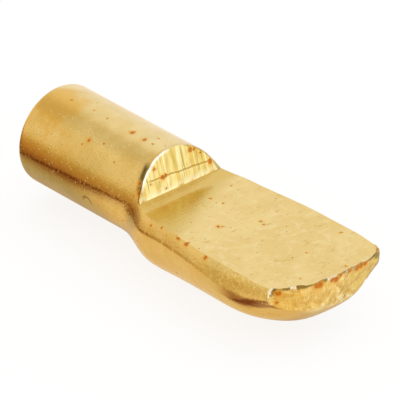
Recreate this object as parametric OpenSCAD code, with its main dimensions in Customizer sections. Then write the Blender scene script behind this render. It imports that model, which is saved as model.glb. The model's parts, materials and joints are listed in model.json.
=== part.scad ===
// Shelf support pin with a flat paddle, cold-formed from one length of round wire.
//
// The barrel goes into the hole in the cabinet side and the shelf lies on the paddle's flat seat.
// Origin: on the barrel's axis, at the foot of the step between barrel and paddle.
// +X runs out along the paddle to its tip, -X into the cabinet side, +Z is up, out of the seat.

/* [Barrel] */
// Diameter of the barrel, which is the diameter of the hole it goes in
pin_d = 5; // [4:0.05:7]
// Length of the barrel, from its free end to the foot of the step
pin_len = 8.7; // [6:0.1:14]
// Radius of the rounding round the free end
end_round = 0.3; // [0.1:0.05:0.8]

/* [Seat and step] */
// Height of the flat seat above the barrel's axis
seat_h = 0.58; // [0.2:0.02:1]
// How far the sheared step face leans back towards the barrel, in degrees
step_lean = 18; // [0:1:30]
// Length of the low ramp between the seat and the step face
ramp_len = 0.65; // [0.3:0.05:1]
// Height of that ramp where it meets the step face
ramp_h = 0.14; // [0.06:0.02:0.3]

/* [Paddle] */
// Length of the paddle, from the foot of the step to the middle of the tip
paddle_len = 10.5; // [8:0.05:14]
// Width of the paddle where it is widest
paddle_w = 7.35; // [6.4:0.05:9]
// Distance from the step to that widest place
widest_at = 6.7; // [4:0.1:7.5]
// Width of the paddle just past the neck
neck_w = 6.5; // [5.8:0.05:8]
// Width that the sides close in to at the tip
tip_w = 6.75; // [5.6:0.05:8]
// Depth of the underside below the barrel's axis, close to the neck
belly_d = 3; // [2.3:0.05:3.5]
// How steeply the underside rises towards the tip, in degrees
belly_rise = 4.7; // [0:0.5:8]
// Distance past the tip where the rising underside would meet the barrel's axis
chin_over = 0.06; // [0.04:0.01:0.3]
// How far the sides' rounded shoulders would crown above the seat
crown_over = 0.24; // [0.14:0.02:0.5]

/* [Sides] */
// Depth of the crease along the sides, their widest line, below the barrel's axis
crease = 0.15; // [0:0.05:0.6]
// How much lower the crease dips on its way to the tip
crease_dip = 0.35; // [0:0.05:0.6]
// Distance from the step to the lowest place of that dip
dip_at = 7.2; // [4:0.1:8]
// How far the sides lean in from crease to seat, as a share of half the width
draft = 0.12; // [0:0.01:0.2]
// The same lean near the tip
draft_tip = 0.1; // [0:0.01:0.2]

/* [Tip] */
// Radius of the tip's corner on the -Y side, seen from above
near_r = 4; // [1.5:0.05:5]
// Distance from the centre line to the middle of that corner's arc
near_at = 0.35; // [0:0.05:2]
// Radius of the tip's corner on the +Y side, seen from above
far_r = 1.7; // [1:0.05:4]
// Distance from the centre line to the middle of that corner's arc
far_at = 1.75; // [0:0.05:2]
// How far the sheared face leans back towards its lower edge, in degrees, at the centre line
tip_lean = 2.8; // [0:0.2:10]
// How much more it leans for each millimetre towards the +Y side, in degrees
tip_twist = 3.2; // [0:0.2:5]

/* [Neck] */
// Distance behind the step where the underside begins to flare
flare_back = 2.55; // [1.8:0.1:3]
// Distance past the step where the flare has died away at the shoulders
flare_front = 1.6; // [1:0.05:2.5]

/* [Hidden] */
$fn = 96;

brass = "#d9b05a";
pin_r = pin_d / 2;

// Section of the paddle: exponents of the two half superellipses that meet in the crease, the
// first across and the second upright
side_n = [7, 7];         // above the crease, a side with a soft shoulder
belly_n = [3.3, 1.25];  // below it, along most of the paddle
chin_n = [1.15, 1.65];    // below it, at the tip
rise_n = [4.7, 3.5];     // of the underside's turn up to the tip, along and upright
rise_from = 0.3;  // where along the paddle that turn begins
neck_at = 0.88;   // where along the paddle the neck's width is reached
crease_in = 1.5;  // distance from the step over which the crease comes down
dip_len = 2.6;    // length of the crease's dip
draft_from = 5;   // where along the paddle the sides' lean begins to change
draft_len = 4;

// The flare leans: it begins first and ends first on the underside. At height s, from -1 at the
// bottom to +1 at the top of the section, it runs from flare_from(s) to flare_to(s).
seat_s = seat_h / pin_r;
flare_lean = 1.3;
flare_lean_end = 1;
function flare_from(s) = -flare_back + flare_lean * (s + 1);
function flare_to(s) = flare_front + flare_lean_end * (s - seat_s);

// The barrel's true cylinder ends inside the forged end, whose skin starts a hair inside the
// barrel and comes out through it over the length of the lap.
lap = 0.2;
skin_sink = 0.05;
skin_proud = 0.01;
skin_x = -flare_back - 2 * lap;

// Rings of the skin: close together round the neck and the tip, wider between them. From bow_x on
// they bow, to follow the tip's round corners. A little past the tip the skin stops closing in, and
// runs straight on for the shear to cut.
ring_pts = 64;
neck_rings = 18;
mid_rings = 10;
tip_rings = 13;
neck_x = flare_front + 0.4;
chin_x = 0.83 * paddle_len;
fade_x = 0.78 * paddle_len;
bow_x = 0.6 * paddle_len;
held_x = paddle_len + 0.7 * chin_over;
skin_end = paddle_len + 2;

function ease(t) = 0.5 - 0.5 * cos(180 * max(0, min(1, t)));
function mix(a, b, t) = a + (b - a) * t;
function half_w(x) = x < widest_at
    ? mix(neck_w, paddle_w, ease((x - neck_at) / (widest_at - neck_at))) / 2
    : mix(paddle_w, tip_w, pow((x - widest_at) / (paddle_len - widest_at), 2)) / 2;
function depth(x) = let (t = max(0, x - rise_from) / (paddle_len + chin_over - rise_from))
    (belly_d - tan(belly_rise) * max(0, x - 1)) * pow(max(0, 1 - pow(t, rise_n[0])), 1 / rise_n[1]);
function chin(x) = pow(max(0, min(1, (x - chin_x) / (paddle_len - chin_x))), 2.5);
function bow(x) = x < skin_end ? pow(ease((x - bow_x) / (paddle_len - bow_x)), 1.5) : 0;
function crease_z(x) = -(1 - ease((x - fade_x) / (paddle_len - fade_x))) *
    (crease * ease(x / crease_in) + crease_dip * exp(-pow(1.5 * (x - dip_at) / dip_len, 2)));
function lean(x) = mix(draft, draft_tip, ease((x - draft_from) / draft_len));

// How far the tip falls back from its middle at distance y from the centre line: an arc of radius
// r whose middle is at distance from, and which stops just short of a full quarter turn.
corner_reach = 0.97;
function arc(r, from, y) = let (in = min(max(y - from, 0), corner_reach * r)) r - sqrt(r * r - in * in);
function fall_back(y) = y < 0 ? arc(near_r, near_at, -y) : arc(far_r, far_at, y);
function shear_x(y, z) = paddle_len - fall_back(y) - (seat_h - z) * tan(tip_lean + tip_twist * y);

// The skin falls back the same way on both sides, by a softer curve that meets the mean of the two
// corners at the sides.
skin_at = (near_at + far_at) / 2;
skin_reach = tip_w / 2 - skin_at;
function skin_back(y) =
    arc((near_r + far_r) / 2, skin_at, tip_w / 2) * pow(max(abs(y) - skin_at, 0) / skin_reach, 2);

// A point of the skin at station x and section angle a, as [x, y, z]
function round_r(x) = pin_r + mix(-skin_sink, skin_proud, ease((x - skin_x) / lap));
function skin_point(x, a) =
    let (
        at = min(x, held_x),
        c = cos(a),
        s = sin(a),
        below = s < 0,
        n = below ? mix(belly_n, chin_n, chin(at)) : side_n,
        rise = pow(abs(s), 2 / n[1]),
        wide = half_w(at) * sign(c) * pow(abs(c), 2 / n[0]) * (1 - (below ? 0 : lean(at) * rise)),
        high = mix(crease_z(at), below ? -depth(at) : seat_h + crown_over, rise),
        k = ease((at - flare_from(s)) / (flare_to(s) - flare_from(s))),
        y = mix(round_r(at) * c, wide, k),
        z = mix(round_r(at) * s, high, k)
    )
    [x - skin_back(y) * bow(x), y, z];

function stations() = concat(
    [for (i = [0:neck_rings - 1]) mix(skin_x, neck_x, i / neck_rings)],
    [for (i = [0:mid_rings - 1]) mix(neck_x, chin_x, i / mid_rings)],
    [for (i = [0:tip_rings]) mix(chin_x, held_x, sin(90 * i / tip_rings))],
    [skin_end]
);

// Round wire, with the rounded edge that goes into the hole first
module barrel() {
    rotate([0, -90, 0])
        rotate_extrude()
            difference() {
                translate([0, flare_back]) square([pin_r, pin_len - flare_back]);
                translate([pin_r - end_round, pin_len - end_round])
                    difference() {
                        square(end_round * 2);
                        circle(end_round);
                    }
            }
}

// Forged end before the seat is punched: the round section flares and flattens into the paddle,
// with a crease along each side, and its underside turns up in a curve to the tip
module forged_end() {
    xs = stations();
    last = len(xs) - 1;
    n = ring_pts;
    points = [for (x = xs) for (i = [0:n - 1]) skin_point(x, 360 * i / n)];
    sides = [
        for (r = [0:last - 1]) for (i = [0:n - 1])
            let (a = r * n + i, b = r * n + (i + 1) % n)
            [a, a + n, b + n, b]
    ];
    end = last * n;
    caps = [[for (i = [0:n - 1]) i], [for (i = [n - 1:-1:0]) end + i]];
    polyhedron(points, concat(sides, caps), convexity = 4);
}

// The punch that leaves the flat seat, the low ramp and the sheared step face
module punch() {
    top = pin_r + 1;
    back = (top - seat_h - ramp_h) * tan(step_lean);
    front = paddle_len + 2;
    rotate([90, 0, 0])
        linear_extrude(paddle_w * 2, center = true)
            polygon([
                [0, seat_h + ramp_h], [ramp_len, seat_h], [front, seat_h], [front, top], [-back, top]
            ]);
}

// The shear that crops the tip: square across in the middle, round at the corners, and a little
// twisted, so that the face leans back more at one side
module tip_shear() {
    steps = 48;
    far_side = paddle_w / 2 + 0.3;
    across = [for (i = [0:steps]) mix(-far_side, far_side, i / steps)];
    beyond = paddle_len + 4;
    n = steps + 3;
    levels = [-belly_d - 0.5, pin_r + 0.5];
    points = [
        for (z = levels)
            each concat([for (y = across) [shear_x(y, z), y, z]], [[beyond, far_side, z], [beyond, -far_side, z]])
    ];
    walls = [for (i = [0:n - 1]) let (j = (i + 1) % n) [i, j, j + n, i + n]];
    floor = [for (i = [n - 1:-1:0]) i];
    roof = [for (i = [0:n - 1]) n + i];
    polyhedron(points, concat(walls, [floor, roof]), convexity = 4);
}

module shelf_pin() {
    color(brass)
        difference() {
            union() {
                barrel();
                forged_end();
            }
            punch();
            tip_shear();
        }
}

shelf_pin();
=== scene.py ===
import json
import math

import bmesh
import bpy
import numpy as np
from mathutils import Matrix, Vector, noise


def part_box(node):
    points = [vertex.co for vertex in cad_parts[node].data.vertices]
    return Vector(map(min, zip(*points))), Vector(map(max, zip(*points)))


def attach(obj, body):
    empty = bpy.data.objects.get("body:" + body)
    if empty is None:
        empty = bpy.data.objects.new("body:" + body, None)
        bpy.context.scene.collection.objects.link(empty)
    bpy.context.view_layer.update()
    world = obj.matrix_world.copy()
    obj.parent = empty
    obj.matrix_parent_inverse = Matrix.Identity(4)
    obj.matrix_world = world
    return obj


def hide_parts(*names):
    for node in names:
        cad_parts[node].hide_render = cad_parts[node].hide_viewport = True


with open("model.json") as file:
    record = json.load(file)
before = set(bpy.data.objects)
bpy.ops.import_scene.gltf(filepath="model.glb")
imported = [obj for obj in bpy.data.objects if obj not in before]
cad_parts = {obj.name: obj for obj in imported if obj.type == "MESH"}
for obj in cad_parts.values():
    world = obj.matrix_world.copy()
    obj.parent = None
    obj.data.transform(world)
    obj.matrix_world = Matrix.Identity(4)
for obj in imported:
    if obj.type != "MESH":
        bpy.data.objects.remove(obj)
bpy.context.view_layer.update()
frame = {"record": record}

bl_info = {
    "name": "Shelf Support Pin",
    "version": (1, 0, 0),
    "blender": (4, 5, 0),
    "location": "3D View > Sidebar > Shelf Pin",
    "description": "Forges, punches and crops a brass-plated shelf pin, and sets a studio round it",
    "category": "Object",
}

NODE = "shelf_pin"
MM = 0.001  # the pin is modelled in millimetres and brought to metres at the end
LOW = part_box(NODE)[0]
RECORD = frame["record"]
MOUNTS = {mount["name"]: mount for mount in RECORD["mounts"]}
PLATING = RECORD["materials"][0]


# ---------------------------------------------------------------- sizes and colours


def length(name, description, default):
    return bpy.props.FloatProperty(
        name=name, description=description, default=default, unit="LENGTH", subtype="DISTANCE", precision=5
    )


def angle(name, description, degrees):
    return bpy.props.FloatProperty(
        name=name, description=description, default=math.radians(degrees), unit="ROTATION", subtype="ANGLE"
    )


def colour(name, description, default):
    return bpy.props.FloatVectorProperty(
        name=name, description=description, default=default, size=3, subtype="COLOR", min=0, max=1
    )


def factor(name, description, default, top=1):
    return bpy.props.FloatProperty(
        name=name, description=description, default=default, subtype="FACTOR", min=0, max=top
    )


class PinSizes(bpy.types.PropertyGroup):
    """Sizes of the shelf pin."""

    pin_r: length("Barrel radius", "Radius of the barrel", MOUNTS["barrel"]["dims"]["r_mm"] * MM)
    pin_len: length("Barrel length", "From the free end to the foot of the step", -LOW.x)
    end_round: length("End rounding", "Radius of the rounding round the free end", 0.3 * MM)
    seat_h: length("Seat height", "Height of the seat above the barrel's axis", MOUNTS["seat"]["pos_m"][2])
    step_lean: angle("Step lean", "How far the sheared step face leans back", 18)
    ramp_len: length("Ramp length", "Length of the ramp between seat and step", 0.65 * MM)
    ramp_h: length("Ramp height", "Height of the ramp where it meets the step", 0.14 * MM)
    paddle_len: length("Paddle length", "From the foot of the step to the tip", 10.5 * MM)
    paddle_w: length("Paddle width", "Width of the paddle where it is widest", 7.35 * MM)
    widest_at: length("Widest at", "Distance from the step to the widest place", 6.7 * MM)
    neck_w: length("Neck width", "Width of the paddle just past the neck", 6.5 * MM)
    tip_w: length("Tip width", "Width that the sides close in to at the tip", 6.75 * MM)
    belly_d: length("Belly depth", "Depth of the underside below the barrel's axis", 3.0 * MM)
    belly_rise: angle("Belly rise", "How steeply the underside rises towards the tip", 4.7)
    chin_over: length("Chin overshoot", "How far past the tip the underside would reach the axis", 0.06 * MM)
    drop: length("Widest line drop", "Depth of the sides' widest line below the axis", 0.15 * MM)
    drop_dip: length("Widest line dip", "How much lower that line dips before the tip", 0.35 * MM)
    drop_at: length("Dip place", "Distance from the step to that dip", 7.2 * MM)
    draft: factor("Side draft", "Lean of the sides towards the seat, as a share of half the width", 0.12)
    draft_tip: factor("Side draft at tip", "The same lean near the tip", 0.1)
    crown_over: length("Crown overshoot", "How far the shoulders would crown above the seat", 0.24 * MM)
    near_r: length("Near corner radius", "Radius of the tip's corner on the -Y side", 4 * MM)
    near_at: length("Near corner place", "From the centre line to the middle of its arc", 0.35 * MM)
    far_r: length("Far corner radius", "Radius of the tip's corner on the +Y side", 1.7 * MM)
    far_at: length("Far corner place", "From the centre line to the middle of its arc", 1.75 * MM)
    tip_lean: angle("Tip lean", "How far the sheared tip leans back towards its lower edge", 2.8)
    tip_twist: angle("Tip twist", "How much more it leans for each millimetre towards the +Y side", 3.2)
    flare_back: length("Flare behind step", "Where the underside begins to flare, behind the step", 2.55 * MM)
    flare_front: length("Flare past step", "Where the flare has died away at the shoulders", 1.6 * MM)


class PinFinish(bpy.types.PropertyGroup):
    """Colours of the shelf pin."""

    brass: colour("Brass plating", "Colour of the plating", PLATING["base_color"])


class StudioSizes(bpy.types.PropertyGroup):
    """Place and field of the camera."""

    azimuth: angle("Camera azimuth", "Turn of the camera round the pin", 47.72)
    elevation: angle("Camera elevation", "Height of the camera above the horizon", 29.86)
    distance: length("Camera distance", "From the camera to the point that it looks at", 250 * MM)
    field: length("Field of view", "Width that the picture takes in at the pin", 18.46 * MM)


# ---------------------------------------------------------------- the pin's form

ANGLES = ("step_lean", "belly_rise", "tip_lean", "tip_twist")
SHARES = ("draft", "draft_tip")
CORNER_REACH = 0.97  # of a quarter turn's radius, where an arc at the tip's corner stops


def ease(t):
    return 0.5 - 0.5 * np.cos(np.pi * np.clip(t, 0, 1))


def mix(a, b, t):
    return a + (b - a) * t


def arc(radius, middle, y):
    """How far an arc falls back at y when its middle is at the given distance."""
    reach = np.clip(y - middle, 0, CORNER_REACH * radius)
    return radius - np.sqrt(radius**2 - reach**2)


class Form:
    """The pin's sizes in millimetres and the curves that they give."""

    side_n = 7.0  # exponent of the section above its widest line
    belly_p, belly_q = 3.3, 1.25  # across and upright, below that line
    chin_p, chin_q = 1.15, 1.65  # the same at the tip
    rise_n, rise_m = 4.7, 3.5  # of the underside's turn up to the tip, along and upright
    rise_from = 0.3  # along the paddle, where that turn begins
    neck_at = 0.88  # along the paddle, where the neck's width is reached
    draft_from, draft_len = 5.0, 4.0  # where the sides' lean begins to change, and over how far
    drop_in = 1.5  # over which the widest line comes down past the neck
    dip_narrow = 0.577  # the larger, the shorter that line's dip
    flare_lean, flare_lean_end = 1.3, 1.0  # how much later the flare begins and ends at the top
    lap = 0.2  # over which the forged skin leaves the barrel
    hold = 0.04  # past the tip, where the skin runs straight on
    overrun = 1.9  # past the tip, where the blank ends and the shear has cut it off
    section_steps = 2880  # of the curve that a ring's points are spread along
    rub_reach, rub_fade, rub_from, rubs = 0.6, 0.3, 0.4, 14  # how the crease has worn round

    def __init__(self, sizes):
        for name in PinSizes.__annotations__:
            value = getattr(sizes, name)
            setattr(self, name, value if name in ANGLES + SHARES else value / MM)
        self.chin_x, self.fade_x, self.bow_x = (share * self.paddle_len for share in (0.83, 0.78, 0.6))
        self.skin_at = (self.near_at + self.far_at) / 2
        self.seat_s = self.seat_h / self.pin_r
        self.lap_x = -self.flare_back - 2 * self.lap
        self.front = self.paddle_len + self.overrun
        self.foot = self.seat_h + self.ramp_h

    def half_w(self, x):
        swell = mix(self.neck_w, self.paddle_w, ease((x - self.neck_at) / (self.widest_at - self.neck_at)))
        past = np.maximum(0, x - self.widest_at) / (self.paddle_len - self.widest_at)
        return np.where(x < self.widest_at, swell, mix(self.paddle_w, self.tip_w, past**2)) / 2

    def depth(self, x):
        t = np.maximum(0, x - self.rise_from) / (self.paddle_len + self.chin_over - self.rise_from)
        flat = self.belly_d - math.tan(self.belly_rise) * np.maximum(0, x - 1)
        return flat * np.maximum(0, 1 - t**self.rise_n) ** (1 / self.rise_m)

    def widest_drop(self, x):
        """How far the widest line of the sides lies below the barrel's axis."""
        dip = self.drop_dip * np.exp(-((self.dip_narrow * (x - self.drop_at)) ** 2))
        fade = ease((x - self.fade_x) / (self.paddle_len - self.fade_x))
        return (self.drop * ease(x / self.drop_in) + dip) * (1 - fade)

    def chin(self, x):
        return np.clip((x - self.chin_x) / (self.paddle_len - self.chin_x), 0, 1) ** 2.5

    def fall_back(self, y):
        """How far the tip falls back from its middle at distance y from the centre line."""
        return arc(self.near_r, self.near_at, -y) + arc(self.far_r, self.far_at, y)

    def shear_x(self, y, z):
        """Where the sheared face of the tip lies."""
        lean = np.tan(self.tip_lean + self.tip_twist * y)
        return self.paddle_len - self.fall_back(y) - (self.seat_h - z) * lean

    def skin_back(self, y):
        """The same for the skin, by a softer curve that meets the mean of the two corners at the sides."""
        side = self.tip_w / 2
        reach = np.maximum(0, np.abs(y) - self.skin_at) / (side - self.skin_at)
        return arc((self.near_r + self.far_r) / 2, self.skin_at, side) * reach**2

    def skin(self, x, a):
        """The point of the forged skin at station x and section angle a."""
        held = np.minimum(x, self.paddle_len + self.hold)
        c, s = np.cos(a), np.sin(a)
        below = s < 0
        p = np.where(below, mix(self.belly_p, self.chin_p, self.chin(held)), self.side_n)
        q = np.where(below, mix(self.belly_q, self.chin_q, self.chin(held)), self.side_n)
        lift = np.abs(s) ** (2 / q)
        lean = mix(self.draft, self.draft_tip, ease((held - self.draft_from) / self.draft_len))
        draft = np.where(below, 0, lean * lift)
        wide = self.half_w(held) * np.sign(c) * np.abs(c) ** (2 / p) * (1 - draft)
        drop = self.widest_drop(held)
        crown = self.seat_h + self.crown_over
        high = -drop + np.where(below, -(self.depth(held) - drop), crown + drop) * lift
        begin = -self.flare_back + self.flare_lean * (s + 1)
        end = self.flare_front + self.flare_lean_end * (s - self.seat_s)
        k = ease((held - begin) / (end - begin))
        y = mix(self.pin_r * c, wide, k)
        z = mix(self.pin_r * s, high, k)
        bow = ease((held - self.bow_x) / (self.paddle_len - self.bow_x)) ** 1.5 * (x < self.front)
        return x - self.skin_back(y) * bow, y, z

    def ring(self, x, count):
        """Points of the skin at station x, evenly spaced round it from the middle of the underside.

        The creases along the paddle's sides are rubbed round a little."""
        a = np.linspace(-0.5 * np.pi, 1.5 * np.pi, self.section_steps + 1)
        px, py, pz = self.skin(np.full_like(a, x), a)
        run = np.concatenate([[0], np.cumsum(np.hypot(np.diff(py), np.diff(pz)))])
        at = np.arange(count) / count * run[-1]
        points = np.column_stack([np.interp(at, run, p) for p in (px, py, pz)])
        from_crease = np.abs(points[:, 2] + self.widest_drop(x))
        worn = ease((self.rub_reach - from_crease) / self.rub_fade) * ease((x - self.rub_from) / self.drop_in)
        worn = worn[:, None]
        for _ in range(self.rubs):
            around = (np.roll(points, 1, axis=0) + np.roll(points, -1, axis=0)) / 2
            points += 0.5 * worn * (around - points)
        return points

    def stations(self):
        """Where the rings of the skin lie along the pin, from the free end's rounding to past the tip."""
        start = -self.pin_len + self.end_round
        spans = [  # up to, spacing
            (self.lap_x, 0.13),
            (-0.8, 0.07),
            (0.12, 0.03),
            (self.flare_front + 0.6, 0.06),
            (self.chin_x, 0.13),
            (self.paddle_len - 0.4, 0.08),
            (self.paddle_len + self.hold, 0.055),
        ]
        xs = [start]
        for stop, space in spans:
            steps = max(1, round((stop - xs[-1]) / space))
            xs += list(np.linspace(xs[-1], stop, steps + 1)[1:])
        return np.array(xs + [self.front])

    def on_skin(self, x, degrees):
        """The point of the skin at station x in a direction from the axis, from the +Y side over the top."""
        a = np.linspace(0, 2 * np.pi, self.section_steps + 1)
        px, py, pz = self.skin(np.full_like(a, x), a)
        direction = np.degrees(np.unwrap(np.arctan2(pz, py)))
        return tuple(float(np.interp(degrees, direction, p)) for p in (px, py, pz))

    def on_seat(self, x, y):
        return x, y, self.seat_h

    def on_step(self, y, z):
        return (self.foot - z) * math.tan(self.step_lean), y, z

    def on_tip(self, y, z):
        return float(self.shear_x(y, z) + tip_mark(y, z)), y, z


# ---------------------------------------------------------------- modelling helpers


def only(obj):
    """Make one object the only selected and active one."""
    bpy.ops.object.select_all(action="DESELECT")
    obj.select_set(True)
    bpy.context.view_layer.objects.active = obj


def pick(obj, kind, test):
    """Enter edit mode with just the vertices, edges or faces selected that pass the test."""
    only(obj)
    bpy.ops.object.mode_set(mode="EDIT")
    bpy.ops.mesh.select_mode(type=kind)
    bpy.ops.mesh.select_all(action="DESELECT")
    mesh = bmesh.from_edit_mesh(obj.data)
    for part in {"VERT": mesh.verts, "EDGE": mesh.edges, "FACE": mesh.faces}[kind]:
        if test(part):
            part.select_set(True)
    mesh.select_flush_mode()
    bmesh.update_edit_mesh(obj.data)


def leave():
    bpy.ops.object.mode_set(mode="OBJECT")


def run_along(edge, axis):
    """How far an edge runs along one axis."""
    a, b = (v.co for v in edge.verts)
    return abs((a - b)[axis])


def points_of(obj):
    co = np.empty(len(obj.data.vertices) * 3)
    obj.data.vertices.foreach_get("co", co)
    return co.reshape(-1, 3)


def move_points(obj, co):
    obj.data.vertices.foreach_set("co", np.ascontiguousarray(co, np.float32).ravel())
    obj.data.update()


def cut_along(obj, axis, cuts, where=lambda a, b: True):
    """Cut the mesh across the edges that run along one axis, with so many cuts."""

    def runs(edge):
        a, b = (v.co for v in edge.verts)
        return run_along(edge, axis) > 0.3 * (a - b).length and where(a, b)

    pick(obj, "EDGE", runs)
    bpy.ops.mesh.subdivide(number_cuts=cuts)
    leave()


def apply_boolean(obj, tool, operation="DIFFERENCE"):
    only(obj)
    modifier = obj.modifiers.new("cut", "BOOLEAN")
    modifier.object, modifier.operation = tool, operation
    modifier.solver = "EXACT"
    modifier.material_mode = "TRANSFER"
    bpy.ops.object.modifier_apply(modifier=modifier.name)
    bpy.data.objects.remove(tool)


# ---------------------------------------------------------------- the pin's pieces and tools

RING_POINTS = 320
END_STEPS = 5  # of the rounding at the free end
ACROSS_CUTS = 219  # across the punch and the shear
STEP_CUTS, RAMP_CUTS, SEAT_CUTS, TEAR_CUTS = 33, 5, 99, 59  # along their faces
LIP_H = 0.085  # of the lip that the punch raises round the near side of the step
BURR_H = 0.07  # of the burr that the shear raises along the tip
CRACK_Z, CRACK_FALL = 1.34, 0.06  # of the crack across the step, and how much it falls towards +Y
SET_BACK = 0.03  # of the step face above that crack
LOBE, TOE = 0.27, 0.26  # how far the torn face stands out at its +Y and -Y corners
MERGE = 0.004  # points closer together than this are joined after the cuts
SMOOTH_BELOW = math.radians(38)
NEAR = 0.01  # within which a corner counts as at a place


def wire_blank(form):
    """A length of round wire with its free end rounded, cut into rings for forging."""
    stations = form.stations()
    back = -form.pin_len
    bpy.ops.mesh.primitive_cylinder_add(
        vertices=RING_POINTS,
        radius=form.pin_r,
        depth=form.front - back,
        location=((form.front + back) / 2, 0, 0),
        rotation=(0, math.radians(90), 0),
    )
    blank = bpy.context.object
    blank.name = "pin"
    bpy.ops.object.transform_apply()
    pick(blank, "EDGE", lambda e: all(v.co.x < back + NEAR for v in e.verts))
    bpy.ops.mesh.bevel(offset=form.end_round, segments=END_STEPS, profile=0.5, affect="EDGES")
    leave()
    pick(blank, "FACE", lambda f: all(v.co.x < back + NEAR / 10 for v in f.verts))
    bpy.ops.mesh.inset(thickness=0.04)
    leave()
    pick(blank, "EDGE", lambda e: run_along(e, 0) > form.pin_len)
    bpy.ops.mesh.subdivide(number_cuts=len(stations) - 2)
    leave()
    return blank


def forge(blank, form):
    """Move each ring of the wire to its station, and press it to its section there."""
    stations = form.stations()
    co = points_of(blank)
    start = stations[0]
    share = (co[:, 0] - start) / (form.front - start)
    index = np.rint(share * (len(stations) - 1)).astype(int)
    turn = np.arctan2(co[:, 2], co[:, 1]) / (2 * np.pi) + 0.25
    place = np.rint(turn * RING_POINTS).astype(int) % RING_POINTS
    for i, x in enumerate(stations):
        on_ring = (index == i) & (share > -1e-4)
        co[on_ring] = form.ring(x, RING_POINTS)[place[on_ring]]
    raised = np.array([step_lip(form, *point) for point in co])
    co[:, 1:] *= 1 + raised[:, None] / form.pin_r
    move_points(blank, co)


def step_lip(form, x, y, z):
    """How far the punch has raised a lip round the near side of the step."""
    if not -1 < x < 0.2 or z < 0.7 or y > 0.2:
        return 0
    ahead = x - form.on_step(y, z)[0]
    ragged = 0.8 + 0.6 * noise.noise(Vector((0, y * 1.9, z * 1.9)))
    return LIP_H * ragged * ease((ahead + 0.17) / 0.15) * ease((0.2 - y) / 0.9) * ease((z - 0.7) / 0.25)


def punch_tool(form, seat, step):
    """The punch that leaves the seat, the ramp and the sheared step face, with the marks that it leaves."""
    top = form.pin_r + 0.4
    ramp, foot = form.ramp_len, form.foot
    front, side = form.paddle_len + 0.4, form.paddle_w / 2 + 0.3
    bpy.ops.mesh.primitive_cube_add(size=2)
    tool = bpy.context.object
    pick(tool, "EDGE", lambda e: all(v.co.z < 0 for v in e.verts) and run_along(e, 0) > 1)
    bpy.ops.mesh.subdivide(number_cuts=1)
    leave()
    corners = {  # column, level: x, z
        (-1, -1): (0, foot),
        (0, -1): (ramp, form.seat_h),
        (1, -1): (front, form.seat_h),
        (1, 1): (front, top),
        (-1, 1): (form.on_step(0, top)[0], top),
    }
    co = points_of(tool)
    for i, (x, y, z) in enumerate(co):
        px, pz = corners[round(x), round(z)]
        co[i] = px, y * side, pz
    move_points(tool, co)
    cut_along(tool, 1, ACROSS_CUTS)
    cut_along(tool, 2, STEP_CUTS, lambda a, b: max(a.x, b.x) < NEAR)
    cut_along(tool, 0, RAMP_CUTS, lambda a, b: -NEAR < min(a.x, b.x) and max(a.x, b.x) < ramp + NEAR)
    cut_along(tool, 0, SEAT_CUTS, lambda a, b: min(a.x, b.x) > ramp - NEAR and max(a.z, b.z) < foot)
    co = points_of(tool)
    for i, (x, y, z) in enumerate(co):
        if foot + 2 * NEAR < z < top - NEAR and x < 0:
            co[i, 0] += step_mark(y, z)
        elif x > ramp + 5 * NEAR and z < foot:
            share = (x - ramp) / (front - ramp)
            co[i, 0] = ramp + (front - ramp) * (1 - (1 - share) ** 1.7)  # closer together at the tip
            co[i, 2] += tip_burr(form, co[i, 0], y)
    move_points(tool, co)
    tool.data.materials.append(seat)
    tool.data.materials.append(step)
    for face in tool.data.polygons:
        face.material_index = int(face.normal.x < -0.3)
    return tool


def step_mark(y, z):
    """How far the step face stands out or in at a point: fine upright grooves with a slight lean."""
    across = y + 0.12 * z
    coarse = noise.noise(Vector((across * 2.6, 0.25 * z, 3.1)))
    fine = noise.noise(Vector((across * 7.5, 0.4 * z, 8.7)))
    hair = noise.noise(Vector((across * 16, 0.8 * z, 1.9)))
    set_back = SET_BACK * ease((z - CRACK_Z + CRACK_FALL * y) / 0.05)
    return 0.055 * coarse + 0.03 * fine + 0.012 * hair - set_back


def tip_burr(form, x, y):
    """How far the seat stands up in a ragged burr along the tip's edge."""
    ahead = x - form.shear_x(y, form.seat_h)
    coarse, fine = noise.noise(Vector((y * 1.7, 6.1, 0))), noise.noise(Vector((y * 5, 2.2, 0)))
    return BURR_H * max(0, 0.5 + 1.1 * coarse + 0.5 * fine) * ease((ahead + 0.16) / 0.14)


def shear_tool(form, tip):
    """The shear that crops the tip, with its torn face."""
    low, high = -1.8, 1.4
    side = form.paddle_w / 2 + 0.5
    bpy.ops.mesh.primitive_cube_add(size=2)
    tool = bpy.context.object
    cut_along(tool, 1, ACROSS_CUTS)
    cut_along(tool, 2, TEAR_CUTS, lambda a, b: max(a.x, b.x) < 0)
    co = points_of(tool)
    y, z = co[:, 1] * side, mix(low, high, (co[:, 2] + 1) / 2)
    x = np.where(co[:, 0] > 0, form.front + 0.6, form.shear_x(y, z))
    for i in np.flatnonzero(co[:, 0] < 0):
        x[i] += tip_mark(y[i], z[i])
    move_points(tool, np.column_stack([x, y, z]))
    tool.data.materials.append(tip)
    return tool


def tip_mark(y, z):
    """How far the torn tip face stands out or in at a point."""
    torn = noise.noise(Vector((y * 1.3, z * 2.2, 5.3)))
    rough = noise.noise(Vector((y * 4.1 + z, z * 5.0, 2.7)))
    lobe = ease((y - 2.1) / 0.8) * ease((0.5 - z) / 0.12) * ease((z + 0.5) / 0.5)
    toe = ease((-y - 2.95) / 0.45) * ease((0.6 - z) / 0.6)
    return 0.06 * torn + 0.035 * rough + LOBE * lobe + TOE * toe


def in_metres(obj):
    only(obj)
    obj.scale = (MM,) * 3
    bpy.ops.object.transform_apply()


# ---------------------------------------------------------------- shader maths


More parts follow.
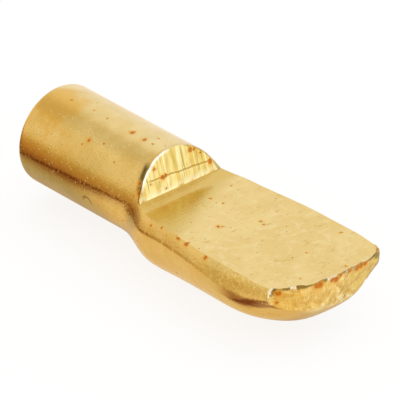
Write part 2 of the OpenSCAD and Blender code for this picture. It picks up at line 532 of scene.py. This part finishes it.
class Wire:
    """One output of a node, for shader maths written as expressions."""

    def __init__(self, net, socket):
        self.net, self.socket = net, socket

    def maths(self, operation, *values):
        return self.net.add("ShaderNodeMath", {"operation": operation}, dict(enumerate(values)))

    def __add__(self, other):
        return self.maths("ADD", self, other)

    def __sub__(self, other):
        return self.maths("SUBTRACT", self, other)

    def __rsub__(self, other):
        return self.maths("SUBTRACT", other, self)

    def __mul__(self, other):
        return self.maths("MULTIPLY", self, other)

    def __truediv__(self, other):
        return self.maths("DIVIDE", self, other)

    def __pow__(self, other):
        return self.maths("POWER", self, other)

    def __or__(self, other):
        return self.maths("MAXIMUM", self, other)

    def __and__(self, other):
        return self.maths("MINIMUM", self, other)

    __radd__ = __add__
    __rmul__ = __mul__


class Net:
    """The nodes of one material or of the world."""

    def __init__(self, tree):
        self.tree = tree
        tree.nodes.clear()

    def add(self, kind, settings=None, inputs=None, output=0):
        node = self.tree.nodes.new(kind)
        for name, value in (settings or {}).items():
            if name == "stops":
                while len(node.color_ramp.elements) < len(value):
                    node.color_ramp.elements.new(0.5)
                for element, (place, tone) in zip(node.color_ramp.elements, value):
                    element.position, element.color = place, tone
            else:
                setattr(node, name, value)
        for name, value in (inputs or {}).items():
            socket = node.inputs[name]
            if isinstance(value, Wire):
                self.tree.links.new(value.socket, socket)
            else:
                socket.default_value = value
        return Wire(self, node.outputs[output]) if node.outputs else node

    def mix_colour(self, a, b, factor, blend="MIX"):
        a, b = (tone if isinstance(tone, Wire) else tuple(tone) + (1,) for tone in (a, b))
        settings = {"data_type": "RGBA", "blend_type": blend}
        return self.add("ShaderNodeMix", settings, {0: factor, 6: a, 7: b}, output=2)

    def mix_value(self, a, b, factor):
        return self.add("ShaderNodeMix", {}, {0: factor, 2: a, 3: b})

    def ramp(self, value, start, stop):
        """0 at start and before it, 1 at stop and beyond."""
        inputs = {0: value, 1: start, 2: stop}
        return self.add("ShaderNodeMapRange", {"interpolation_type": "SMOOTHSTEP"}, inputs)

    def place(self, scale=(1, 1, 1)):
        """Where a point lies on the pin, in millimetres, each direction times its scale."""
        at = self.add("ShaderNodeTexCoord", output=3)
        return self.vector("MULTIPLY", at, tuple(k / MM for k in scale))

    def vector(self, operation, *values, output=0):
        return self.add("ShaderNodeVectorMath", {"operation": operation}, dict(enumerate(values)), output)

    def distance(self, at, place):
        return self.vector("DISTANCE", at, place, output=1)

    def parts(self, at):
        return [self.add("ShaderNodeSeparateXYZ", {}, {0: at}, output=i) for i in range(3)]

    def noise(self, at, scale, detail=2.0, roughness=0.5, output=0):
        return self.add("ShaderNodeTexNoise", {}, {0: at, 2: scale, 3: detail, 4: roughness}, output)

    def cells(self, at, scale, output=0):
        return self.add("ShaderNodeTexVoronoi", {}, {0: at, 2: scale}, output)


def new_material(name):
    material = bpy.data.materials.new(name)
    material.use_nodes = True
    return material, Net(material.node_tree)


# Rust marks, measured and rounded, not designed: the place on the face, and the radius in millimetres
SKIN_RUST = (  # along the pin, and degrees round it from the +Y side over the top
    (-4.5, 131, 0.11),
    (-2.9, 98, 0.11),
    (-2.05, 99, 0.1),
    (-1.45, 99, 0.05),
    (-1.65, 87, 0.05),
    (-5.65, 96, 0.05),
    (-4.7, 98, 0.05),
    (-4.7, 138, 0.04),
    (-3.6, 126, 0.045),
    (-2.45, 139, 0.04),
    (-6.9, 201, 0.04),
    (-1.3, 197, 0.05),
    (-7.15, 99, 0.06),
    (-0.5, 146, 0.1),
    (-0.3, 155, 0.12),
    (-0.6, 160, 0.05),
    (1.35, 172.5, 0.06),
    (2.05, 170, 0.06),
    (3.25, 170, 0.09),
    (3.85, 170.5, 0.1),
    (5.3, 171.5, 0.1),
    (2.85, 208.5, 0.05),
    (3.45, 175.5, 0.04),
)
SEAT_RUST = (  # along and across
    (1.6, 0.4, 0.06),
    (2.35, 0.55, 0.06),
    (3.75, -1.05, 0.1),
    (3.9, -0.9, 0.06),
    (4.7, 0.7, 0.08),
    (5.0, 0.6, 0.06),
    (3.05, -3.0, 0.05),
    (2.05, -2.95, 0.06),
    (1.15, -2.85, 0.05),
    (3.9, -3.05, 0.07),
    (1.35, 1.9, 0.04),
    (7.9, 2.7, 0.07),
    (8.15, 0.3, 0.05),
    (8.05, -0.45, 0.04),
    (9.65, -1.45, 0.05),
    (10.2, 0.8, 0.07),
)
STEP_RUST = (  # across and up
    (-0.85, 1.4, 0.12),
    (-0.65, 1.45, 0.08),
    (2.0, 1.2, 0.11),
    (1.05, 2.05, 0.11),
    (1.25, 2.0, 0.08),
    (1.6, 1.75, 0.06),
    (-1.25, 1.9, 0.08),
    (-1.65, 1.35, 0.05),
    (-0.8, 0.85, 0.05),
)
TIP_RUST = (  # across and up
    (-2.85, 0.35, 0.13),
    (-2.9, -0.1, 0.09),
    (-1.2, 0.4, 0.15),
    (-1.0, 0.4, 0.16),
    (-0.3, 0.4, 0.12),
    (-0.05, 0.35, 0.15),
    (0.2, 0.45, 0.1),
    (0.8, 0.4, 0.1),
    (1.25, 0.4, 0.15),
    (1.5, 0.45, 0.16),
    (1.75, 0.45, 0.13),
    (2.85, 0.5, 0.06),
    (2.95, 0.55, 0.12),
    (2.6, -0.3, 0.05),
)


def rust(place, marks):
    """The middle and radius of each rust mark on one face."""
    return [(place(a, b), radius) for a, b, radius in marks]


def brass(name, make, form, tint):
    """A material of the pin: make gives the colour, roughness and height of the brass, and its rust."""
    material, net = new_material(name)
    at = net.place()
    tone, roughness, height, depth, marks = make(net, at, form)
    tone = net.mix_colour(tone, tint, 1.0, "MULTIPLY")
    ragged = net.vector("MULTIPLY_ADD", net.noise(at, 4.5, 3.0, 0.7, output=1), (0.3,) * 3, at)
    ragged = net.vector("SUBTRACT", ragged, (0.15,) * 3)
    near = None
    for place, radius in marks:
        gap = net.distance(ragged, place) / radius
        near = gap if near is None else near & gap
    halo, core = net.ramp(near, 2.7, 0.8), net.ramp(near, 1.3, 0.5)
    tone = net.mix_colour(tone, (0.84, 0.46, 0.09), halo * 0.7)
    tone = net.mix_colour(tone, (0.62, 0.18, 0.012), core * 0.85)
    roughness = net.mix_value(roughness, 0.5, core)
    height = height - core * (0.02 / depth)
    bump = net.add("ShaderNodeBump", {}, {"Distance": depth * MM, "Height": height, "Strength": 1.0})
    shader = net.add(
        "ShaderNodeBsdfPrincipled",
        {},
        {"Base Color": tone, "Metallic": 1.0, "Roughness": roughness, "Normal": bump},
    )
    net.add("ShaderNodeOutputMaterial", {}, {"Surface": shader})
    return material


def specks(net, at, scale, size, share):
    """Small round specks, one in some of the cells of a random pattern."""
    gap = net.cells(at, scale)
    chosen = net.ramp(net.parts(net.cells(at, scale, output=1))[0], 1 - share, 1 - share + 0.02)
    return net.ramp(gap, size * scale, 0.4 * size * scale) * chosen


def plated(net, at, form):
    """The wire's own plated skin: cloudy, pitted, and orange near the free end, with painted reflections,
    painted shade and painted glints.
    """
    x, y, z = net.parts(at)
    from_end = x + form.pin_len
    behind = x + (z - form.foot) * math.tan(form.step_lean)  # how far past the plane of the step
    cloud = net.noise(at, 0.6, 4.0, 0.6)
    patch = net.noise(at, 1.3, 3.0, 0.6)
    grain = net.noise(at, 8.0, 3.0, 0.7)
    body = net.ramp(from_end, 0.01, 0.07)  # all but the face of the free end
    near_side = net.ramp(y, -0.5, -1.7) * body
    paddle = net.ramp(x, 0.3, 1.2)
    tone = net.mix_colour((0.81, 0.59, 0.235), (0.87, 0.675, 0.32), net.ramp(cloud, 0.38, 0.62))

    veil = net.ramp(net.noise(net.place((0.45, 0.9, 0.9)), 0.8, 3.0, 0.55), 0.52, 0.7)
    tone = net.mix_colour(tone, (0.72, 0.585, 0.27), veil * 0.5)

    stain = net.ramp(net.distance(at, form.on_skin(-7.5, 111)) - patch * 2.4, 0.6, -0.5)
    # An orange tint low on the near side, towards the free end.
    low_orange = net.ramp(x + patch * 2.2, -3.6, -7.0) * net.ramp(z, 1.5, 0.5) * net.ramp(z, -0.1, 0.2)
    tone = net.mix_colour(tone, (0.80, 0.48, 0.11), (stain | low_orange * 0.7) * body * 0.85)

    dark_grain = net.ramp(grain, 0.48, 0.34) * near_side * (0.4 - paddle * 0.25)
    tone = net.mix_colour(tone, (0.62, 0.42, 0.12), dark_grain)

    # Painted reflection: a thin, broken dark line along the near side and down round the neck.
    from_dark_reflection = z + 0.1 - from_end * 0.056 + net.ramp(x, -0.75, 0.35) * 0.55 + (grain - 0.5) * 0.22
    line = net.ramp(from_dark_reflection * from_dark_reflection, 0.012, 0.001) * near_side * net.ramp(x, 3.4, 0.6)
    line = line * net.ramp(grain, 0.64, 0.46) * (0.8 - net.ramp(x, -1.4, -0.5) * 0.25)
    tone = net.mix_colour(tone, (0.34, 0.15, 0.03), line)

    # Raised specks on the lower near side, painted bright as glints (painted highlights).
    glint = specks(net, at, 6.0, 0.045, 0.35) * near_side * net.ramp(z, -1.0, -0.4)
    tone = net.mix_colour(tone, (1, 0.84, 0.42), glint * 0.9)
    pit = specks(net, at, 2.3, 0.05, 0.5)
    tone = net.mix_colour(tone, (0.48, 0.31, 0.09), pit * 0.7)

    from_hook = net.distance(at, (-3.85, -2.4, -0.82)) - 0.27
    nick = net.ramp(from_hook * from_hook, 0.007, 0.001) * net.ramp(z, -0.95, -0.7) * net.ramp(y, -1.8, -2.1)
    tone = net.mix_colour(tone, (0.42, 0.24, 0.06), nick * 0.75)

    shadow = net.ramp(behind + patch * 0.2, -0.4, -0.15) * net.ramp(behind, 0.1, -0.02)
    shadow = shadow * net.ramp(y, -1.2, -1.6) * net.ramp(z + patch * 0.3, 0.95, 1.3)
    tone = net.mix_colour(tone, (0.09, 0.07, 0.02), shadow * 0.95)
    # Painted shade: a soft brown band on the barrel just behind the step's rim.
    shade_behind_step = net.ramp(behind, -0.3, -0.1) * net.ramp(z, 0.9, 1.2)
    tone = net.mix_colour(tone, (0.62, 0.42, 0.13), shade_behind_step * 0.3)

    # Painted reflection: a dark brown band low on the near side of the paddle, before the tip.
    dark_reflection_band = z + 0.45 - net.ramp(x, 8.6, 9.5) * 0.25
    dark_reflection_band = net.ramp(dark_reflection_band * dark_reflection_band, 0.1, 0.005) * net.ramp(x, 6.2, 7.6) * net.ramp(y, -2, -2.5)
    tone = net.mix_colour(tone, (0.33, 0.12, 0.025), dark_reflection_band * 0.85)

    wall = net.ramp(x, 4.5, 7.0)
    # On the near wall before the tip: bright grains painted as glints and dark grains as painted shade.
    wall_sparkle = wall * net.ramp(z, -0.35, -0.1) * near_side
    tone = net.mix_colour(tone, (1, 0.86, 0.42), net.ramp(grain, 0.54, 0.62) * wall_sparkle * 0.8)
    tone = net.mix_colour(tone, (0.62, 0.43, 0.11), net.ramp(grain, 0.45, 0.36) * wall_sparkle * 0.35)

    rough = grain * (near_side * 0.75 + wall * 0.6)
    height = rough + net.noise(at, 3.0) * 0.7 - pit + glint * 1.2 - nick * 1.5
    return tone, net.mix_value(0.12, 0.19, cloud), height, 0.012, rust(form.on_skin, SKIN_RUST)


def brushed(net, at, form):
    """The punched seat and ramp, faintly brushed across."""
    x, y, _ = net.parts(at)
    hair = net.noise(net.place((9, 1.1, 1)), 1.0, 3.0, 0.65)
    cloud = net.noise(at, 0.7, 4.0, 0.6)
    tone = net.mix_colour((0.825, 0.59, 0.22), (0.865, 0.64, 0.26), net.ramp(cloud, 0.4, 0.6))
    tone = net.mix_colour(tone, (0.75, 0.53, 0.18), net.ramp(hair, 0.56, 0.72) * 0.5)
    dash = net.ramp(net.noise(net.place((6, 1.8, 1)), 1.0, 2.0), 0.62, 0.72)
    tone = net.mix_colour(tone, (0.66, 0.42, 0.12), dash * 0.6)
    mist = net.ramp(net.noise(at, 2.2, 3.0, 0.6), 0.54, 0.66)
    tone = net.mix_colour(tone, (0.90, 0.72, 0.36), mist * 0.5)
    # Painted reflection of the step and ramp: the seat darker next to them.
    tone = net.mix_colour(tone, (0.70, 0.49, 0.135), net.ramp(x + y * 0.45, 2.5, 1.1) * 0.9)
    tone = net.mix_colour(tone, (0.76, 0.52, 0.16), net.ramp(x, 1.0, 0.5) * 0.8)
    pit = specks(net, at, 1.9, 0.055, 0.5)
    tone = net.mix_colour(tone, (0.46, 0.27, 0.07), pit * 0.75)
    dot = specks(net, at, 4.2, 0.045, 0.6)
    tone = net.mix_colour(tone, (0.60, 0.36, 0.09), dot * 0.7)
    height = hair * 0.9 + cloud * 0.6 - pit - dot * 0.4
    return tone, net.mix_value(0.13, 0.19, hair), height, 0.009, rust(form.on_seat, SEAT_RUST)


def sheared(net, at, form):
    """The bright step face, scored upright by the punch, with a crack across it, and with painted shade and
    painted highlights.
    """
    _, y, z = net.parts(at)
    groove = net.noise(net.place((0, 5.5, 0.35)), 1.0, 2.0, 0.6)
    bright = net.noise(net.place((0, 2.1, 0.2)), 1.0, 2.0)
    tone = net.mix_colour((0.78, 0.57, 0.15), (0.95, 0.80, 0.36), net.ramp(bright, 0.42, 0.62))
    # Painted shade in the grooves and painted highlights on their ridges.
    tone = net.mix_colour(tone, (0.42, 0.33, 0.06), net.ramp(groove, 0.44, 0.34) * 0.85)
    tone = net.mix_colour(tone, (1, 0.93, 0.6), net.ramp(groove, 0.58, 0.68) * 0.8)
    # Painted highlight over the lower part of the step.
    tone = net.mix_colour(tone, (1, 0.95, 0.68), net.ramp(z + groove * 0.6, 1.35, 1.1) * 0.5)
    out = (y * y + z * z) ** 0.5 + (bright - 0.5) * 0.1
    # Painted highlight along the near rim of the step, on the raised lip.
    lip_highlight = net.ramp(out, 2.38, 2.46) * net.ramp(y, 0.1, -0.7) * net.ramp(z, 1.0, 1.6)
    tone = net.mix_colour(tone, (1, 0.98, 0.88), lip_highlight)
    tone = net.mix_colour(tone, (0.34, 0.24, 0.05), net.ramp(out, 2.4, 2.48) * net.ramp(y, 0.5, 1.0) * 0.7)
    wander = net.noise(net.place((0, 1.6, 0)), 1.0, 3.0) * 0.16
    level = z + y * CRACK_FALL - (CRACK_Z - 0.05) - wander
    crack = net.ramp(level * level, 0.0011, 0.0002) * net.ramp(y, -1.9, -1.5) * net.ramp(y, 2.3, 1.9)
    tone = net.mix_colour(tone, (0.56, 0.30, 0.06), crack * 0.7)
    return tone, 0.15, groove * 0.8 - crack * 0.8, 0.03, rust(form.on_step, STEP_RUST)


def torn(net, at, form):
    """The torn face of the tip, rough and shiny, rusty below its upper edge, with painted highlights and
    painted shade.
    """
    x, y, z = net.parts(at)
    fan = net.noise(net.place((0, 1.9, 1.5)), 1.0, 5.0, 0.7)
    scale = net.noise(net.place((0, 4.2, 3.4)), 1.0, 4.0, 0.7)
    rough = net.ramp(y, 1.9, 0.6)
    tone = net.mix_colour((0.76, 0.50, 0.13), (0.95, 0.69, 0.24), net.ramp(fan, 0.4, 0.6))
    tone = net.mix_colour(tone, (0.80, 0.58, 0.17), net.ramp(y, 0.2, 1.6) * 0.7)
    # Painted highlights and painted shade in the rough texture, with more painted highlights near the lower
    # edge.
    tone = net.mix_colour(tone, (1, 0.92, 0.52), net.ramp(scale, 0.56, 0.68) * rough * 0.85)
    tone = net.mix_colour(tone, (0.56, 0.31, 0.05), net.ramp(scale, 0.44, 0.34) * rough * 0.75)
    lower = net.ramp(z + fan * 0.4, -0.3, -0.6)
    tone = net.mix_colour(tone, (1, 0.94, 0.62), lower * net.ramp(scale, 0.48, 0.56) * rough * 0.85)
    # Along the burr at the top edge and down the far corner's ledge: painted shade, broken by painted
    # highlights.
    edge = net.ramp(z + fan * 0.3, 0.58, 0.68) | net.ramp(z, 0.3, 0.44) * net.ramp(y, 2.2, 2.6)
    bright = net.ramp(net.noise(net.place((0, 1.5, 0)), 1.0, 2.0, 0.6), 0.5, 0.56) * net.ramp(y, 1.2, 0.6)
    lip = net.mix_colour((0.26, 0.18, 0.035), (1, 0.98, 0.88), bright)
    tone = net.mix_colour(tone, lip, edge * 0.9)
    # At the near corner: a painted shade strip beside a painted highlight running down the corner.
    corner = net.ramp(x, 9.64, 9.57) * net.ramp(z, 0.2, 0.36)
    tone = net.mix_colour(tone, (0.20, 0.11, 0.02), corner * 0.85)
    ragged = x + (scale - 0.5) * 0.3 + net.ramp(z, 0.25, 0.0) * 0.06
    tone = net.mix_colour(tone, (1, 0.96, 0.78), net.ramp(ragged, 9.49, 9.44) * net.ramp(z, -0.02, 0.1))
    grain = net.noise(at, 9.0, 2.0, 0.6)
    height = fan * 1.6 + (scale * 0.9 + grain * 0.25) * rough
    return tone, 0.15, height, 0.06, rust(form.on_tip, TIP_RUST)


# ---------------------------------------------------------------- floor and light

AIM = (0.616, 0.662, -0.018)  # where the camera looks, in millimetres
FLOOR_SIDE = 400 * MM
LEFT = (-0.673, -0.740, 0)  # from the pin towards the left of the camera
DIM = (-0.64, -0.08, 0.76)  # towards a slightly dimmer part of the light
END = (-0.94, -0.32, 0.1)  # towards a brighter part beyond the free end
LAMP = (0.82, 0.57, -0.02)  # towards the brightest part, which the step face mirrors
# The stops of these two lists follow measured tones, rounded and then adjusted
FAR_LEFT = (  # how the paper looks from the pin, left of the paddle, by y in millimetres
    (-27, (0.62, 0.43, 0.15)),
    (-16, (0.57, 0.35, 0.11)),
    (-9.5, (0.50, 0.27, 0.09)),
    (-6.8, (0.33, 0.14, 0.045)),
    (-6.1, (0.22, 0.08, 0.025)),
    (-5.3, (0.31, 0.14, 0.05)),
    (-4.2, (0.44, 0.31, 0.13)),
    (-3, (0.50, 0.42, 0.26)),
    (-1.5, (0.55, 0.47, 0.33)),
    (1, (1, 0.94, 0.85)),
)
CLOSE = (  # and in front of the paddle
    (-27, (0.82, 0.65, 0.33)),
    (-10, (0.90, 0.72, 0.42)),
    (-5, (0.89, 0.70, 0.40)),
    (-3.4, (0.87, 0.68, 0.36)),
    (-2.4, (0.83, 0.62, 0.32)),
    (-1.6, (0.92, 0.75, 0.52)),
    (0, (1, 0.95, 0.86)),
)


def tones_along(net, value, tones):
    first, last = tones[0][0], tones[-1][0]
    stops = [((at - first) / (last - first), tone + (1,)) for at, tone in tones]
    return net.add("ShaderNodeValToRGB", {"stops": stops}, {0: (value - first) / (last - first)})


def paper_material():
    """Pale paper that keeps a faint shadow, and shades off in front of the pin where the pin mirrors it."""
    material, net = new_material("paper")
    x, y, _ = net.parts(net.place())
    near = net.ramp(x - ((y + 4.2) | 0) * 1.1, -8.6, -4.8)
    tone = net.mix_colour(tones_along(net, y, FAR_LEFT), tones_along(net, y, CLOSE), near)
    # Painted shadow on the paper in front of the tip, seen only in the pin's reflections.
    shadow_patch = ((x - 7.0) / 2.0) ** 2 + ((y + 4.7) / 1.1) ** 2
    tone = net.mix_colour(tone, (0.36, 0.14, 0.05), net.ramp(shadow_patch, 1.1, 0.3) * 0.9)
    # Painted shadow on the paper under the pin.
    under_shadow = net.ramp(y, -2.2, -1.0) * net.ramp(x, 11.5, 10) * net.ramp(x, -11, -9)
    tone = net.mix_colour(tone, (0.50, 0.33, 0.16), under_shadow * 0.6)
    # To all but camera rays the paper glows with these painted tones, a painted reflection for the pin.
    mirrored = net.add("ShaderNodeEmission", {}, {"Color": tone})
    white = net.add("ShaderNodeEmission", {}, {"Color": (1, 1, 1, 1), "Strength": 1.05})
    paper = net.add("ShaderNodeBsdfDiffuse", {}, {"Color": (0.93, 0.94, 1, 1)})
    seen = net.add("ShaderNodeMixShader", {}, {0: 0.8, 1: paper, 2: white})
    camera_ray = net.add("ShaderNodeLightPath")
    surface = net.add("ShaderNodeMixShader", {}, {0: camera_ray, 1: mirrored, 2: seen})
    net.add("ShaderNodeOutputMaterial", {}, {"Surface": surface})
    return material


def studio_light():
    """Soft white light from behind and from the right, warmer and dimmer towards the left."""
    world = bpy.data.worlds.new("studio")
    world.use_nodes = True
    net = Net(world.node_tree)
    way = net.add("ShaderNodeTexCoord")
    left, dim, lamp, end = (net.vector("DOT_PRODUCT", way, to, output=1) for to in (LEFT, DIM, LAMP, END))
    low = net.ramp(net.parts(way)[2], 0.42, -0.05)
    warm = net.mix_colour((0.88, 0.78, 0.53), (0.76, 0.60, 0.28), low)
    warm = net.mix_colour(warm, (0.76, 0.69, 0.50), net.ramp(dim, 0.93, 0.99))
    warm = net.mix_colour(warm, (0.93, 0.75, 0.45), net.ramp(end, 0.85, 0.92))
    sky = net.mix_colour((0.98, 0.99, 0.98), warm, net.ramp(left, 0.05, 0.45))
    sky = net.mix_colour(sky, (1.15, 1.12, 1.0), net.ramp(lamp, 0.85, 0.97))
    shader = net.add("ShaderNodeBackground", {}, {"Color": sky, "Strength": 1.0})
    net.add("ShaderNodeOutputWorld", {}, {"Surface": shader})
    return world


# ---------------------------------------------------------------- operators


class OBJECT_OT_shelf_pin(bpy.types.Operator):
    """Forge, punch and crop the shelf pin in place of its plain solid"""

    bl_idname = "object.shelf_pin"
    bl_label = "Shelf Pin"

    def execute(self, context):
        form = Form(context.scene.pin_sizes)
        chosen = context.scene.pin_finish.brass
        tint = tuple(part / given for part, given in zip(chosen, PLATING["base_color"]))
        finishes = {"plating": plated, "seat": brushed, "step": sheared, "tip": torn}
        skin, seat, step, tip = (brass(name, make, form, tint) for name, make in finishes.items())
        bpy.ops.object.select_all(action="DESELECT")
        pin = wire_blank(form)
        forge(pin, form)
        pin.data.materials.append(skin)
        apply_boolean(pin, punch_tool(form, seat, step))
        apply_boolean(pin, shear_tool(form, tip))
        only(pin)
        bpy.ops.object.mode_set(mode="EDIT")
        bpy.ops.mesh.select_all(action="SELECT")
        bpy.ops.mesh.remove_doubles(threshold=MERGE)
        bpy.ops.mesh.normals_make_consistent(inside=False)
        leave()
        in_metres(pin)
        bpy.ops.object.shade_smooth_by_angle(angle=SMOOTH_BELOW)
        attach(pin, "root")
        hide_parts(NODE)
        return {"FINISHED"}


class OBJECT_OT_pin_studio(bpy.types.Operator):
    """Set the camera, the pale floor and the soft light round the pin"""

    bl_idname = "object.pin_studio"
    bl_label = "Pin Studio"

    def execute(self, context):
        studio = context.scene.pin_studio
        az, el = studio.azimuth, studio.elevation
        back = Vector((math.sin(az) * math.cos(el), -math.cos(az) * math.cos(el), math.sin(el)))
        bpy.ops.object.camera_add(location=Vector(AIM) * MM + back * studio.distance)
        camera = context.object
        camera.rotation_mode = "QUATERNION"
        camera.rotation_quaternion = (-back).to_track_quat("-Z", "Y")
        camera.data.lens = camera.data.sensor_width * studio.distance / studio.field
        camera.data.clip_start = studio.distance / 50
        context.scene.camera = camera
        context.scene.view_settings.view_transform = "Standard"

        bpy.ops.mesh.primitive_plane_add(size=FLOOR_SIDE, location=(0, 0, LOW.z))
        floor = context.object
        floor.name = "floor"
        floor.data.materials.append(paper_material())
        context.scene.world = studio_light()
        return {"FINISHED"}


class VIEW3D_PT_shelf_pin(bpy.types.Panel):
    """Sizes, colours and the two builders of the shelf pin"""

    bl_label = "Shelf Pin"
    bl_space_type = "VIEW_3D"
    bl_region_type = "UI"
    bl_category = "Shelf Pin"

    def draw(self, context):
        scene = context.scene
        for group in (scene.pin_sizes, scene.pin_finish, scene.pin_studio):
            box = self.layout.box()
            for name in type(group).__annotations__:
                box.prop(group, name)
        self.layout.operator(OBJECT_OT_pin_studio.bl_idname)
        self.layout.operator(OBJECT_OT_shelf_pin.bl_idname)


CLASSES = (PinSizes, PinFinish, StudioSizes, OBJECT_OT_shelf_pin, OBJECT_OT_pin_studio, VIEW3D_PT_shelf_pin)


def register():
    for cls in CLASSES:
        bpy.utils.register_class(cls)
    bpy.types.Scene.pin_sizes = bpy.props.PointerProperty(type=PinSizes)
    bpy.types.Scene.pin_finish = bpy.props.PointerProperty(type=PinFinish)
    bpy.types.Scene.pin_studio = bpy.props.PointerProperty(type=StudioSizes)


def unregister():
    del bpy.types.Scene.pin_studio
    del bpy.types.Scene.pin_finish
    del bpy.types.Scene.pin_sizes
    for cls in reversed(CLASSES):
        bpy.utils.unregister_class(cls)


def main():
    register()
    bpy.ops.object.pin_studio()
    bpy.ops.object.shelf_pin()


if __name__ == "__main__":
    main()
